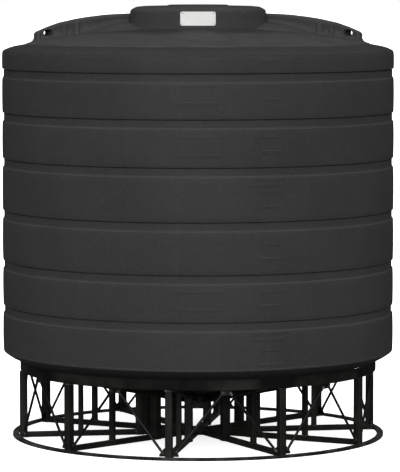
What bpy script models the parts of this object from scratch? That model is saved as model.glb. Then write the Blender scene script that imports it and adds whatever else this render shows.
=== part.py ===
"""Vertical storage tank: a moulded plastic shell with a shallow cone bottom on a round steel stand.

Metres, +Z up. The origin is the centre of the stand on the ground, and the front faces -Y.
"""
import math

import bmesh
import bpy
from mathutils import Matrix, Vector

# Gap that touching pieces keep, and the steps round each turned piece
GAP = 0.0003
TANK_STEPS = 40
STEEL_STEPS = 60
OUTLET_STEPS = 20
PLATE_STEPS = 8

# Tank shell
SHELL = 0.015
TANK_RADIUS = 1.80
WALL_BOTTOM = 0.81
WALL_TOP = 3.53
GROOVE_TOPS = (3.387, 2.989, 2.572, 2.097, 1.638, 1.225)
GROOVE_HEIGHT = 0.087
GROOVE_DEPTH = 0.012
GROOVE_LIP = 0.006

# Roof: a shallow dome that ends in a round collar under the crown
DOME_RADIUS = 8.04
DOME_PEAK = 3.774
SHOULDER_RADIUS = 0.035
COLLAR_RADIUS = 0.65
COLLAR_TOP = 3.77
COLLAR_RIM = 0.012
DOME_STATIONS = (0.70, 0.95, 1.20, 1.45, 1.65)

# Crown and the lid of its manway
CROWN_TOP_RADIUS = 0.62
CROWN_SHOULDER = 3.915
CROWN_TOP = 3.954
WELL_RADIUS = 0.37
WELL_FLOOR = 3.905
NECK_RADIUS = 0.27
NECK_TOP = 3.942
LID_RADIUS = 0.295
LID_TOP = 3.97

# Lifting ridges on the roof and the eye through each
RIDGE_WIDTH = 0.12
RIDGE_END = 1.515
RIDGE_ROOT_TOP = 3.892
RIDGE_CREST = ((0.85, 3.878), (1.00, 3.860), (1.12, 3.841), (1.28, 3.805), (1.38, 3.770), (1.48, 3.728))
RIDGE_NOSE = 3.700
EYE_CENTRE = (1.370, 3.710)
EYE_WIDTH = 0.080
EYE_HEIGHT = 0.056

# Plain plate on the front of the crown
PLATE_WIDTH = 0.322
PLATE_BOTTOM = 3.784
PLATE_TOP = 3.910
PLATE_THICKNESS = 0.003
PLATE_STANDOFF = 0.0010

# Cone bottom and its blanked outlet
CHAMFER_RADIUS = 1.646
CHAMFER_HEIGHT = 0.708
CONE_SLOPE = math.tan(math.radians(12.5))
CONE_END = 0.09
OUTLET_RADIUS = 0.06
OUTLET_FLANGE = 0.085
OUTLET_BOTTOM = 0.255

# Stand: rings
BASE_RING_RADIUS = 1.717
BASE_RING_WIDTH = 0.058
BASE_RING_HEIGHT = 0.024
TOP_RING_RADIUS = 1.645
TOP_RING_FOOT = 0.066
TOP_RING_PLATE = 0.012
LEG_TOP = 0.61

# Stand: ten radial frames under the tank
FRAMES = 10
FIRST_FRAME_DEG = -171.0
OUTER_LEG = 0.064
MID_LEG_RADIUS = 1.095
MID_LEG = 0.048
INNER_LEG_RADIUS = 0.546
INNER_LEG = 0.072
FRAME_WIDTH = 0.048
BEAM_HEIGHT = 0.050
RAFTER_DEPTH = 0.075
BASE_HUB_RADIUS = 0.14
CONE_HUB_RADIUS = 0.18
CONE_HUB_BORE = 0.13

# Stand: crossed rods between the outer legs
ROD_RADIUS = 0.0105
ROD_SPREAD = 0.030
HEAD_PLATE = (0.008, 0.110, 0.045)
FOOT_PLATE = (0.008, 0.055, 0.060)
FOOT_HEIGHT = 0.035

# How far the crown's side leans in for each metre of height
CROWN_TAPER = (COLLAR_RADIUS - CROWN_TOP_RADIUS) / (CROWN_SHOULDER - COLLAR_TOP - COLLAR_RIM)

# Apothem of a flat side, as a share of the radius, on a ring and on a ten-sided hub
FLAT = math.cos(math.pi / STEEL_STEPS)
HUB_FLAT = math.cos(math.pi / FRAMES)
LEG_OUTER_FACE = (BASE_RING_RADIUS - BASE_RING_WIDTH) * FLAT - GAP
LEG_RADIUS = LEG_OUTER_FACE - OUTER_LEG / 2
BAY_DEG = 360.0 / FRAMES


def start_scene():
    """Empty the scene and make the two collections."""
    for old in list(bpy.data.objects):
        bpy.data.objects.remove(old, do_unlink=True)
    made = []
    for name in ("vertical_storage_tank", "cutters"):
        collection = bpy.data.collections.new(name)
        bpy.context.scene.collection.children.link(collection)
        made.append(collection)
    return made


def material(name, colour, roughness, metallic=0.0):
    """A Principled material of one colour."""
    made = bpy.data.materials.new(name)
    made.use_nodes = True
    shader = made.node_tree.nodes["Principled BSDF"]
    shader.inputs["Base Color"].default_value = (*colour, 1.0)
    shader.inputs["Roughness"].default_value = roughness
    shader.inputs["Metallic"].default_value = metallic
    return made


def place(name, data, mat, collection, turn_deg=0.0):
    """Link an object for one piece, turned about the tank's axis."""
    made = bpy.data.objects.new(name, data)
    made.rotation_euler.z = math.radians(turn_deg)
    if not data.materials:
        data.materials.append(mat)
    collection.objects.link(made)
    return made


def outline_mesh(name, points, closed):
    """Edges through (radius, height) points in the XZ plane."""
    mesh = bpy.data.meshes.new(name)
    count = len(points)
    edges = [(i, i + 1) for i in range(count - 1)]
    if closed:
        edges.append((count - 1, 0))
    mesh.from_pydata([(x, 0.0, z) for x, z in points], edges, [])
    return mesh


def add_screw(piece, steps, angle=2 * math.pi):
    """Turn the piece's outline about the Z axis."""
    screw = piece.modifiers.new("turn", "SCREW")
    screw.steps = screw.render_steps = steps
    screw.angle = angle
    screw.use_merge_vertices = True
    screw.merge_threshold = 0.00005
    screw.use_smooth_shade = True


def turned_solid(name, points, mat, collection, steps):
    """A solid of revolution. The points run down its outer side."""
    closed = points[0][0] > 0.0 or points[-1][0] > 0.0
    piece = place(name, outline_mesh(name, points, closed), mat, collection)
    add_screw(piece, steps)
    return piece


def turned_shell(name, points, mat, collection, steps=TANK_STEPS, angle=2 * math.pi, thickness=SHELL):
    """A moulded shell of even thickness inside the turned outline."""
    piece = place(name, outline_mesh(name, points, False), mat, collection)
    add_screw(piece, steps, angle)
    solidify = piece.modifiers.new("thickness", "SOLIDIFY")
    solidify.thickness = thickness
    solidify.offset = -1.0
    solidify.use_even_offset = True
    return piece


def arc(centre, radius, from_deg, to_deg, parts):
    """Points along a round corner."""
    turns = [math.radians(from_deg + (to_deg - from_deg) * i / parts) for i in range(parts + 1)]
    return [(centre[0] + radius * math.cos(t), centre[1] + radius * math.sin(t)) for t in turns]


def dome_height(radius):
    """Height of the roof's dome at a radius."""
    return DOME_PEAK - DOME_RADIUS + math.sqrt(DOME_RADIUS**2 - radius**2)


def cone_height(radius):
    """Height of the cone's underside at a radius."""
    return CHAMFER_HEIGHT - (CHAMFER_RADIUS - radius) * CONE_SLOPE


def wall_outline():
    """The wall from its top rim down, with six grooves.

    Each upper lip is square and each lower one slopes.
    """
    points = [(TANK_RADIUS, WALL_TOP)]
    for top in GROOVE_TOPS:
        floor = TANK_RADIUS - GROOVE_DEPTH
        points += [(TANK_RADIUS, top), (floor, top), (floor, top - GROOVE_HEIGHT + GROOVE_LIP)]
        points.append((TANK_RADIUS, top - GROOVE_HEIGHT))
    points.append((TANK_RADIUS, WALL_BOTTOM + GAP))
    return points


def roof_outline():
    """The roof from the crown's collar out to the shoulder."""
    dome = [(r, dome_height(r)) for r in DOME_STATIONS]
    shoulder = (TANK_RADIUS - SHOULDER_RADIUS, WALL_TOP + 0.012)
    edge = arc(shoulder, SHOULDER_RADIUS, 72, 0, 3) + [(TANK_RADIUS, WALL_TOP + GAP)]
    collar = [(COLLAR_RADIUS, COLLAR_TOP), (COLLAR_RADIUS, COLLAR_TOP - 0.008)]
    collar.append((COLLAR_RADIUS + 0.01, dome_height(COLLAR_RADIUS) + 0.008))
    return collar + dome + edge


def crown_outline():
    """The crown from the manway's neck out over the well to its side wall."""
    neck = [(NECK_RADIUS, NECK_TOP), (NECK_RADIUS, WELL_FLOOR + 0.006), (NECK_RADIUS + 0.012, WELL_FLOOR)]
    well = [(WELL_RADIUS - 0.018, WELL_FLOOR), (WELL_RADIUS, CROWN_TOP - 0.008)]
    well.append((WELL_RADIUS + 0.012, CROWN_TOP))
    side = [(0.565, CROWN_TOP - 0.008), (CROWN_TOP_RADIUS - 0.014, CROWN_SHOULDER + 0.020)]
    side += [(CROWN_TOP_RADIUS, CROWN_SHOULDER), (COLLAR_RADIUS, COLLAR_TOP + COLLAR_RIM)]
    return neck + well + side + [(COLLAR_RADIUS, COLLAR_TOP + GAP)]


def lid_outline():
    """The lid: a slightly domed plate with a skirt round the neck."""
    skirt = WELL_FLOOR + 0.010
    inside = NECK_RADIUS + GAP
    outer = [(0.0, LID_TOP), (0.20, LID_TOP - 0.001), (LID_RADIUS - 0.012, LID_TOP - 0.004)]
    outer += [(LID_RADIUS, LID_TOP - 0.016), (LID_RADIUS, skirt), (inside, skirt)]
    return outer + [(inside, NECK_TOP + GAP), (0.0, NECK_TOP + GAP)]


def cone_outline():
    """The bottom from the wall's foot round the corner, down the cone and into its neck."""
    corner = [(TANK_RADIUS, WALL_BOTTOM), (TANK_RADIUS, WALL_BOTTOM - 0.012)]
    corner += [(1.780, CHAMFER_HEIGHT + 0.070), (1.738, CHAMFER_HEIGHT + 0.043)]
    slope = [(CHAMFER_RADIUS, CHAMFER_HEIGHT), (CONE_END + 0.015, cone_height(CONE_END + 0.015))]
    end = cone_height(CONE_END)
    return corner + slope + [(CONE_END, end - 0.008), (CONE_END, end - 0.030)]


def outlet_outline():
    """The outlet: a stub under the cone's neck that ends in a blank flange."""
    top = cone_height(CONE_END) - 0.030 - GAP
    stub = [(0.0, top), (OUTLET_FLANGE, top), (OUTLET_FLANGE, top - 0.016), (OUTLET_RADIUS, top - 0.016)]
    flange = [(OUTLET_RADIUS, OUTLET_BOTTOM + 0.018), (OUTLET_FLANGE, OUTLET_BOTTOM + 0.018)]
    return stub + flange + [(OUTLET_FLANGE, OUTLET_BOTTOM), (0.0, OUTLET_BOTTOM)]


def flat_piece(name, outline, holes, width):
    """A mesh of a flat outline in the XZ plane, with holes, of a given width along Y."""
    curve = bpy.data.curves.new(name, "CURVE")
    curve.dimensions = "2D"
    curve.fill_mode = "BOTH"
    curve.extrude = width / 2
    for loop in [outline] + holes:
        spline = curve.splines.new("POLY")
        spline.points.add(len(loop) - 1)
        spline.use_cyclic_u = True
        for point, (x, z) in zip(spline.points, loop):
            point.co = (x, z, 0.0, 1.0)
    guide = bpy.data.objects.new(name, curve)
    bpy.context.scene.collection.objects.link(guide)
    mesh = evaluated_mesh(guide, name)
    mesh.transform(Matrix.Rotation(math.radians(90), 4, "X"))
    return mesh


def evaluated_mesh(guide, name):
    """The welded mesh that an object evaluates to. The object is removed."""
    bpy.context.view_layer.update()
    graph = bpy.context.evaluated_depsgraph_get()
    mesh = bpy.data.meshes.new_from_object(guide.evaluated_get(graph))
    mesh.name = name
    welded = bmesh.new()
    welded.from_mesh(mesh)
    bmesh.ops.remove_doubles(welded, verts=welded.verts, dist=0.00005)
    bmesh.ops.recalc_face_normals(welded, faces=welded.faces)
    welded.to_mesh(mesh)
    welded.free()
    mesh.materials.clear()
    bpy.data.objects.remove(guide, do_unlink=True)
    return mesh


def box_mesh(name, size, centre, turn_deg=0.0):
    """A box of a given size, turned about the tank's axis after it is placed."""
    mesh = bpy.data.meshes.new(name)
    shape = bmesh.new()
    bmesh.ops.create_cube(shape, size=1.0, matrix=Matrix.Translation(centre) @ Matrix.Diagonal((*size, 1.0)))
    shape.to_mesh(mesh)
    shape.free()
    mesh.transform(Matrix.Rotation(math.radians(turn_deg), 4, "Z"))
    return mesh


def rod_mesh(name, start, end, radius):
    """A round bar between two points."""
    start, end = Vector(start), Vector(end)
    along = end - start
    turn = along.to_track_quat("Z", "Y").to_matrix().to_4x4()
    mesh = bpy.data.meshes.new(name)
    shape = bmesh.new()
    bmesh.ops.create_cone(
        shape, cap_ends=True, segments=8, radius1=radius, radius2=radius, depth=along.length,
        matrix=Matrix.Translation((start + end) / 2) @ turn,
    )
    shape.to_mesh(mesh)
    shape.free()
    return mesh


def united(name, meshes, cutters):
    """One mesh from several that run into each other."""
    base = bpy.data.objects.new(name, meshes[0])
    bpy.context.scene.collection.objects.link(base)
    for number, mesh in enumerate(meshes[1:], 1):
        other = bpy.data.objects.new(f"{name}_join_{number}", mesh)
        other.hide_render = True
        other.display_type = "WIRE"
        cutters.objects.link(other)
        union = base.modifiers.new(f"join_{number}", "BOOLEAN")
        union.operation = "UNION"
        union.object = other
    return evaluated_mesh(base, name)


def frame_mesh(cutters):
    """One radial frame along +X: base beam, mid leg, inner leg and the rafter under the cone."""
    base_face = BASE_HUB_RADIUS * HUB_FLAT + GAP
    cone_face = CONE_HUB_RADIUS * HUB_FLAT + GAP
    beam_end = LEG_RADIUS - OUTER_LEG / 2 - GAP
    foot_edge = (TOP_RING_RADIUS - TOP_RING_FOOT) * FLAT - GAP
    web_face = (TOP_RING_RADIUS - TOP_RING_PLATE) * FLAT - GAP
    foot_top = LEG_TOP + TOP_RING_PLATE + GAP

    def rafter_top(radius):
        return cone_height(radius) - 2 * GAP

    def rafter_bottom(radius):
        return rafter_top(radius) - RAFTER_DEPTH

    mid_in, mid_out = MID_LEG_RADIUS - MID_LEG / 2, MID_LEG_RADIUS + MID_LEG / 2
    inner_in, inner_out = INNER_LEG_RADIUS - INNER_LEG / 2, INNER_LEG_RADIUS + INNER_LEG / 2
    outline = [(cone_face, rafter_bottom(cone_face)), (inner_in, rafter_bottom(inner_in))]
    outline.append((inner_in, BEAM_HEIGHT))
    outline += [(base_face, BEAM_HEIGHT), (base_face, 0.0), (beam_end, 0.0), (beam_end, BEAM_HEIGHT)]
    outline += [(mid_out, BEAM_HEIGHT), (mid_out, rafter_bottom(mid_out))]
    outline.append((foot_edge, rafter_bottom(foot_edge)))
    outline += [(foot_edge, foot_top), (web_face, foot_top), (web_face, rafter_top(web_face))]
    outline.append((cone_face, rafter_top(cone_face)))
    hole = [(inner_out, BEAM_HEIGHT), (mid_in, BEAM_HEIGHT), (mid_in, rafter_bottom(mid_in))]
    hole.append((inner_out, rafter_bottom(inner_out)))
    flat = flat_piece("frame_flat", outline, [hole], FRAME_WIDTH)
    leg_top = rafter_top(inner_in) - 0.010
    leg = box_mesh("inner_leg", (INNER_LEG, INNER_LEG, leg_top), (INNER_LEG_RADIUS, 0.0, leg_top / 2))
    return united("radial_frame", [flat, leg], cutters)


def brace_mesh(cutters):
    """Two rods that spread from a plate under the top ring at +X to the feet of the legs on either side."""
    head_x = (TOP_RING_RADIUS - TOP_RING_FOOT / 2) * FLAT
    head_z = LEG_TOP - GAP - HEAD_PLATE[2] / 2
    meshes = [box_mesh("head", HEAD_PLATE, (head_x, 0.0, head_z))]
    reach = OUTER_LEG / 2 + GAP + FOOT_PLATE[1] / 2
    for side in (1, -1):
        half_bay = side * BAY_DEG / 2
        foot = Vector((LEG_RADIUS, -side * reach, FOOT_HEIGHT + FOOT_PLATE[2] / 2))
        meshes.append(box_mesh("foot", FOOT_PLATE, foot, half_bay))
        foot.rotate(Matrix.Rotation(math.radians(half_bay), 3, "Z"))
        meshes.append(rod_mesh("rod", (head_x, side * ROD_SPREAD, head_z), foot, ROD_RADIUS))
    return united("brace_pair", meshes, cutters)


def ridge_mesh():
    """The ridge on the roof along +X, from the crown to its blunt nose, with the lifting eye through it."""
    root = COLLAR_RADIUS + 2 * GAP
    rim = COLLAR_TOP + COLLAR_RIM
    clear = 3 * GAP
    under = [(root, rim)]
    under += [(r, dome_height(r) + clear) for r in DOME_STATIONS if r < RIDGE_END]
    ahead, behind = DOME_STATIONS[-1], DOME_STATIONS[-2]
    share = (RIDGE_END - behind) / (ahead - behind)
    under.append((RIDGE_END, dome_height(behind) * (1 - share) + dome_height(ahead) * share + clear))
    crest = [(root - CROWN_TAPER * (RIDGE_ROOT_TOP - rim), RIDGE_ROOT_TOP)] + list(RIDGE_CREST)
    outline = under + [(RIDGE_END, RIDGE_NOSE)] + crest[::-1]
    x, z = EYE_CENTRE
    half = EYE_WIDTH / 2 - EYE_HEIGHT / 2
    eye = arc((x + half, z), EYE_HEIGHT / 2, -90, 90, 6) + arc((x - half, z), EYE_HEIGHT / 2, 90, 270, 6)
    return flat_piece("ridge", outline, [eye], RIDGE_WIDTH)


def plate_outline():
    """The plate's outer face, which leans with the crown's side."""
    face = COLLAR_RADIUS + PLATE_STANDOFF + PLATE_THICKNESS
    return [(face - (z - COLLAR_TOP - COLLAR_RIM) * CROWN_TAPER, z) for z in (PLATE_TOP, PLATE_BOTTOM)]


def build_tank(collection):
    """Wall, roof, crown, lid, ridges, plate, cone and outlet."""
    plastic = material("moulded_plastic", (0.040, 0.040, 0.041), 0.55)
    white = material("plate_white", (0.80, 0.80, 0.78), 0.45)
    turned_shell("tank_wall", wall_outline(), plastic, collection)
    turned_shell("tank_roof", roof_outline(), plastic, collection)
    turned_shell("roof_crown", crown_outline(), plastic, collection)
    turned_shell("tank_cone", cone_outline(), plastic, collection)
    turned_solid("manway_lid", lid_outline(), plastic, collection, TANK_STEPS)
    turned_solid("bottom_outlet", outlet_outline(), plastic, collection, OUTLET_STEPS)
    ridge = ridge_mesh()
    place("lifting_ridge_right", ridge, plastic, collection)
    place("lifting_ridge_left", ridge, plastic, collection, 180.0)
    spread = PLATE_WIDTH / COLLAR_RADIUS
    outline = plate_outline()
    plate = turned_shell("front_plate", outline, white, collection, PLATE_STEPS, spread, PLATE_THICKNESS)
    plate.rotation_euler.z = math.radians(-90) - spread / 2


def build_rings(collection, steel):
    """The ring on the ground and the angle ring that the tank stands on."""
    inner = BASE_RING_RADIUS - BASE_RING_WIDTH
    base = [(BASE_RING_RADIUS, BASE_RING_HEIGHT), (BASE_RING_RADIUS, 0.0)]
    base += [(inner, 0.0), (inner, BASE_RING_HEIGHT)]
    turned_solid("base_ring", base, steel, collection, STEEL_STEPS)
    web = TOP_RING_RADIUS - TOP_RING_PLATE
    foot = TOP_RING_RADIUS - TOP_RING_FOOT
    top = cone_height(web) - 2 * GAP
    angle = [(TOP_RING_RADIUS, top), (TOP_RING_RADIUS, LEG_TOP), (foot, LEG_TOP)]
    angle += [(foot, LEG_TOP + TOP_RING_PLATE), (web, LEG_TOP + TOP_RING_PLATE), (web, top)]
    turned_solid("top_ring", angle, steel, collection, STEEL_STEPS)


def build_hubs(collection, steel):
    """Ten-sided hubs that the base beams and the rafters meet at."""
    turn = FIRST_FRAME_DEG + BAY_DEG / 2
    base = [(0.0, BEAM_HEIGHT), (BASE_HUB_RADIUS, BEAM_HEIGHT), (BASE_HUB_RADIUS, 0.0), (0.0, 0.0)]
    turned_solid("base_hub", base, steel, collection, FRAMES).rotation_euler.z = math.radians(turn)
    top = cone_height(CONE_HUB_BORE * HUB_FLAT) - 2 * GAP
    bottom = cone_height(CONE_HUB_RADIUS) - RAFTER_DEPTH
    cone = [(CONE_HUB_RADIUS, top), (CONE_HUB_RADIUS, bottom), (CONE_HUB_BORE, bottom), (CONE_HUB_BORE, top)]
    turned_solid("cone_hub", cone, steel, collection, FRAMES).rotation_euler.z = math.radians(turn)


def build_stand(collection, cutters):
    """Rings, hubs, legs, radial frames and braces."""
    steel = material("painted_steel", (0.014, 0.014, 0.012), 0.40, 0.0)
    build_rings(collection, steel)
    build_hubs(collection, steel)
    leg_height = LEG_TOP - GAP
    leg = box_mesh("outer_leg", (OUTER_LEG, OUTER_LEG, leg_height), (LEG_RADIUS, 0.0, leg_height / 2))
    frame = frame_mesh(cutters)
    brace = brace_mesh(cutters)
    for number in range(FRAMES):
        turn = FIRST_FRAME_DEG + number * BAY_DEG
        label = f"{number + 1:02d}"
        place(f"outer_leg_{label}", leg, steel, collection, turn)
        place(f"radial_frame_{label}", frame, steel, collection, turn)
        place(f"brace_pair_{label}", brace, steel, collection, turn + BAY_DEG / 2)


def main():
    collection, cutters = start_scene()
    build_tank(collection)
    build_stand(collection, cutters)


main()
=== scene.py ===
from math import asin, copysign, cos, hypot, pi, radians, sin, sqrt, tan

import bmesh
import bpy
from mathutils import Matrix, Vector, noise


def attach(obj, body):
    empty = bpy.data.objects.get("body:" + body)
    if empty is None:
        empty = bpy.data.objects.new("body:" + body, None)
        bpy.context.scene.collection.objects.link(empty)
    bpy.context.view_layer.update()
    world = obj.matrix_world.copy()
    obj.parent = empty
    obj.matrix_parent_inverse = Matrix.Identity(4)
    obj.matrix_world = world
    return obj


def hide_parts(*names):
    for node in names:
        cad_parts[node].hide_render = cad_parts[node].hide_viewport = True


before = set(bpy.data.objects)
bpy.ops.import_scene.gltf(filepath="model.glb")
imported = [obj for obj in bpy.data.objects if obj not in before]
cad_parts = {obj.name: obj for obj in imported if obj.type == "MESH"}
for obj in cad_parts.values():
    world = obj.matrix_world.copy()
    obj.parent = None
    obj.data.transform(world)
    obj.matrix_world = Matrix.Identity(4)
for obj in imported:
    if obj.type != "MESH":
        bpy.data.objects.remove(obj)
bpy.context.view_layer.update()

# Tank, in metres, as in the part. The outer face is drawn a little inside the part's, so that it can swell
SHELL = 0.015
TANK_RADIUS = 1.8
FACE_RADIUS = TANK_RADIUS - 0.0015
WALL_BOTTOM = 0.81
WALL_TOP = 3.53
GROOVE_TOPS = (3.387, 2.989, 2.572, 2.097, 1.638, 1.225)
GROOVE_HEIGHT = 0.087
GROOVE_DEPTH = 0.012
GROOVE_UNDERCUT = 0.026
BAND_SWELL = 0.003
BAND_STEPS = 8
RIPPLE_BROAD = 0.0022
RIPPLE_FINE = 0.0008
DOME_RADIUS = 8.04
DOME_PEAK = 3.774
ROOF_STEP_RADIUS = 1.585
ROOF_STEP = 0.007
COLLAR_RADIUS = 0.65
COLLAR_TOP = 3.77
CROWN_TOP_RADIUS = 0.62
CROWN_SHOULDER = 3.915
CROWN_TOP = 3.954
CROWN_SLOPE = (COLLAR_RADIUS - CROWN_TOP_RADIUS) / (CROWN_SHOULDER - COLLAR_TOP)
WELL_RADIUS = 0.37
WELL_FLOOR = 3.905
NECK_RADIUS = 0.27
NECK_TOP = 3.942
LID_RADIUS = 0.295
LID_TOP = 3.97
LID_RIBS = 36
LID_RIB_DEPTH = 0.0045
CHAMFER_RADIUS = 1.646
CHAMFER_HEIGHT = 0.708
CONE_SLOPE = tan(radians(12.5))
CONE_END = 0.09
OUTLET_NECK = 0.03
OUTLET_RADIUS = 0.06
OUTLET_FLANGE = 0.085
OUTLET_BOTTOM = 0.255
OUTLET_BOLTS = 8
BOLT_CIRCLE = 0.073

# Steps round each turned piece
WALL_STEPS = 288
ROOF_STEPS = 256
CROWN_STEPS = 224
LID_STEPS = 288
OUTLET_STEPS = 96
RING_STEPS = 240

# Sunk panels in the bands: from and to across, panel height, heights of the lower ledges
PANELS = (
    (-0.205, 0.225, 0.138, (3.137, 2.688, 1.346)),
    (0.532, 0.745, 0.106, (3.171, 2.718, 2.241, 1.785, 1.373, 0.859)),
    (0.455, 0.765, 0.04, (2.426, 1.08)),
)
TOP_LEDGE_HEIGHT = 3.509
LEDGE_STEPS = 24
LEDGE_REACH = 0.04
LIP_ROOM = 0.008

# Sections of the ledges: out from the wall, and up. The upper one starts with a long fade below the lip
LOWER_LEDGE = ((-0.003, 0.006), (0.0044, -0.001), (0.0045, -0.003), (-0.001, -0.045))
UPPER_LEDGE = ((0.0026, 0.0025), (0.0024, 0.0), (-0.003, -0.005))

# Lifting ridges
RIDGE_HALF = 0.06
RIDGE_CREST = (
    (0.6, 3.893), (0.85, 3.878), (1.0, 3.86), (1.12, 3.841),
    (1.28, 3.805), (1.38, 3.77), (1.48, 3.728), (1.52, 3.708),
)
RIDGE_ROOT_RADIUS = 0.636
RIDGE_END = 1.515
RIDGE_NOSE_CORNER = 0.034
RIDGE_SIDE_STEPS = 170
RIDGE_LEAN = CROWN_SLOPE * 1.25
EYE_CENTRE = (1.37, 3.71)
EYE_HALF_LENGTH = 0.04
EYE_HALF_HEIGHT = 0.028
EYE_BACK_HALF_LENGTH = 0.024
EYE_BACK_HALF_HEIGHT = 0.02
EYE_SLANT = 0.07

# Mouth of an eye: where along the hole, and how much wider it is there
EYE_MOUTHS = ((-0.1, 0.03), (-0.063, 0.012), (-0.058, 0.005), (-0.05, 0.001), (-0.04, 0.0))

# Section of a ridge from its foot up: how far out from the side, and the share of the height
RIDGE_LEVELS = (
    (0.06, 0.0), (0.034, 0.022), (0.018, 0.075), (0.007, 0.17), (-0.001, 0.3), (-0.004, 0.39),
    (-0.005, 0.48), (-0.005, 0.57), (-0.004, 0.66), (-0.003, 0.76), (-0.005, 0.87), (-0.012, 0.945),
    (-0.022, 0.985), (-0.033, 1.0),
)

# Ribs on a ridge's sides: distance from the axis, half width, how far the foot and the head stand out
RIDGE_RIBS = ((1.113, 0.04, 0.03, 0.004), (1.224, 0.029, 0.022, 0.003), (1.466, 0.028, 0.032, 0.004))

# Plain plate on the crown, and the slope of the crown's wall behind it
PLATE_WIDTH = 0.322
PLATE_BOTTOM = 3.784
PLATE_TOP = 3.91
PLATE_THICKNESS = 0.003
PLATE_GAP = 0.0003
PLATE_CORNER = 0.01
PLATE_COLUMNS = 24
PLATE_WALL_SLOPE = 0.188
RIVET_INSET = 0.014
RIVET_SIDES = 14
RIVET_PROFILE = ((-0.002, 0.0048), (0.0008, 0.0048), (0.002, 0.0036), (0.0025, 0.0016))

# Stand
BASE_RING_RADIUS = 1.717
BASE_RING_WIDTH = 0.058
BASE_RING_HEIGHT = 0.024
TOP_RING_RADIUS = 1.645
TOP_RING_FOOT = 0.066
TOP_RING_PLATE = 0.012
SEAT_GAP = 0.0006
LEG_TOP = 0.61
FRAMES = 10
FIRST_FRAME_DEG = -171.0
BAY_DEG = 36.0
OUTER_LEG = 0.064
LEG_RADIUS = 1.6244
MID_LEG_RADIUS = 1.095
MID_LEG = 0.048
INNER_LEG_RADIUS = 0.546
INNER_LEG = 0.072
FRAME_WIDTH = 0.048
BEAM_HEIGHT = 0.05
RAFTER_DEPTH = 0.075
BASE_HUB_RADIUS = 0.14
CONE_HUB_RADIUS = 0.18
CONE_HUB_BORE = 0.13
HUB_EDGE_DEG = 20.0
BRACE_RADIUS = TOP_RING_RADIUS - TOP_RING_FOOT / 2
ROD_RADIUS = 0.012
ROD_SPREAD = 0.03
ROD_STEPS = 16
ROD_FOOT_HEIGHT = 0.06
HEAD_PLATE_WIDTH = 0.11
HEAD_PLATE_HEIGHT = 0.045
HEAD_PLATE_THICKNESS = 0.008
GUSSET_REACH = 0.055
GUSSET_TOP = 0.098
GUSSET_TOE = 0.042
GUSSET_THICKNESS = 0.008
WELD_FOOT = 0.0065
BEAD_SPACING = 0.006

# Camera: 28.5 m in front of the tank, a little above its roof, tilted down to the stand
CAMERA_DISTANCE = 28.5
CAMERA_HEIGHT = 4.164
CAMERA_SIDE = 0.018
CAMERA_DOWN_DEG = 4.67
CAMERA_LENS = 236.0
SENSOR_WIDTH = 36.0

# Light: a bright overhead dome that fades to almost nothing below the horizon, and two wide suns, each with
# its name, strength, angle, tilt from straight above and turn
FILL_ABOVE = 1.29
FILL_BELOW = 0.07
HORIZON_BLUR = 0.12
MIRRORED_LIGHT = 0.08
SUNS = (("light_above", 0.4, 60.0, 12.0, 0.0), ("light_front", 1.02, 55.0, 68.0, -3.0))
FLOOR_GLOW = 0.8
FLOOR_RADIUS = 420.0

# Colours of what settles on the surfaces or shows where they are rubbed, and of painted highlight and sheen
RAIN_GREY = (0.06, 0.059, 0.057)
SCUFF_GREY = (0.085, 0.084, 0.082)
# Rubbed grey, and a painted highlight on the plastic's lips and rounded edges
RUBBED_AND_SHEEN_GREY = (0.095, 0.094, 0.092)
# Dust grey, and a painted sheen on upward plastic faces where they catch the light
DUST_AND_SHEEN_GREY = (0.117, 0.115, 0.112)
STEEL_RUST = (0.052, 0.028, 0.015)
CHIPPED_PAINT = (0.115, 0.11, 0.1)
STEEL_DUST = (0.09, 0.085, 0.072)
BEAD_PAINT = (0.018, 0.018, 0.016)
BEAD_METAL = (0.3, 0.29, 0.27)
BEAD_RUST = (0.11, 0.05, 0.022)

BODY = "root"


def feed(tree, value, socket):
    """Links a socket to another, or sets the other's constant."""
    if isinstance(value, bpy.types.NodeSocket):
        tree.links.new(value, socket)
    else:
        socket.default_value = value


def add_node(tree, kind, inputs, **settings):
    """A shader node with its settings, and with sockets or constants fed to its inputs."""
    node = tree.nodes.new("ShaderNode" + kind)
    for name, value in settings.items():
        setattr(node, name, value)
    for label, value in inputs.items():
        feed(tree, value, node.inputs[label])
    return node


def make_group(name, inputs, output, build):
    """A node group with named number sockets. build works out its mask from 0 to 1, or its height."""
    group = bpy.data.node_groups.new(name, "ShaderNodeTree")
    for label, value in inputs.items():
        socket = group.interface.new_socket(label, in_out="INPUT", socket_type="NodeSocketFloat")
        socket.default_value = value
    group.interface.new_socket(output, in_out="OUTPUT", socket_type="NodeSocketFloat")
    start = group.nodes.new("NodeGroupInput")
    end = group.nodes.new("NodeGroupOutput")
    geometry = add_node(group, "NewGeometry", {}).outputs
    result = build(group, start.outputs, geometry["Position"], geometry["Normal"])
    group.links.new(result, end.inputs[output])
    return group


def add_math(tree, kind, first, second=0.0, clamp=False):
    """A Math node. Each operand is a socket or a number."""
    return add_node(tree, "Math", {0: first, 1: second}, operation=kind, use_clamp=clamp).outputs[0]


def add_masks(tree, mask, *others):
    """The product of masks from 0 to 1."""
    for other in others:
        mask = add_math(tree, "MULTIPLY", mask, other, True)
    return mask


def add_noise(tree, vector, scale, detail=2.0, roughness=0.5):
    """A Noise texture's factor."""
    inputs = {"Vector": vector, "Scale": scale, "Detail": detail, "Roughness": roughness}
    return add_node(tree, "TexNoise", inputs).outputs["Fac"]


def add_range(tree, value, low, high, to_low=0.0, to_high=1.0):
    """A clamped smooth step from one range to another."""
    inputs = {"Value": value, "From Min": low, "From Max": high, "To Min": to_low, "To Max": to_high}
    return add_node(tree, "MapRange", inputs, interpolation_type="SMOOTHSTEP").outputs["Result"]


def add_product(tree, vector, scale):
    """A vector scaled along each axis."""
    return add_node(tree, "VectorMath", {0: vector, 1: scale}, operation="MULTIPLY").outputs["Vector"]


def add_upward(tree, vector):
    """The upward part of a vector."""
    return add_node(tree, "SeparateXYZ", {0: vector}).outputs["Z"]


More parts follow.
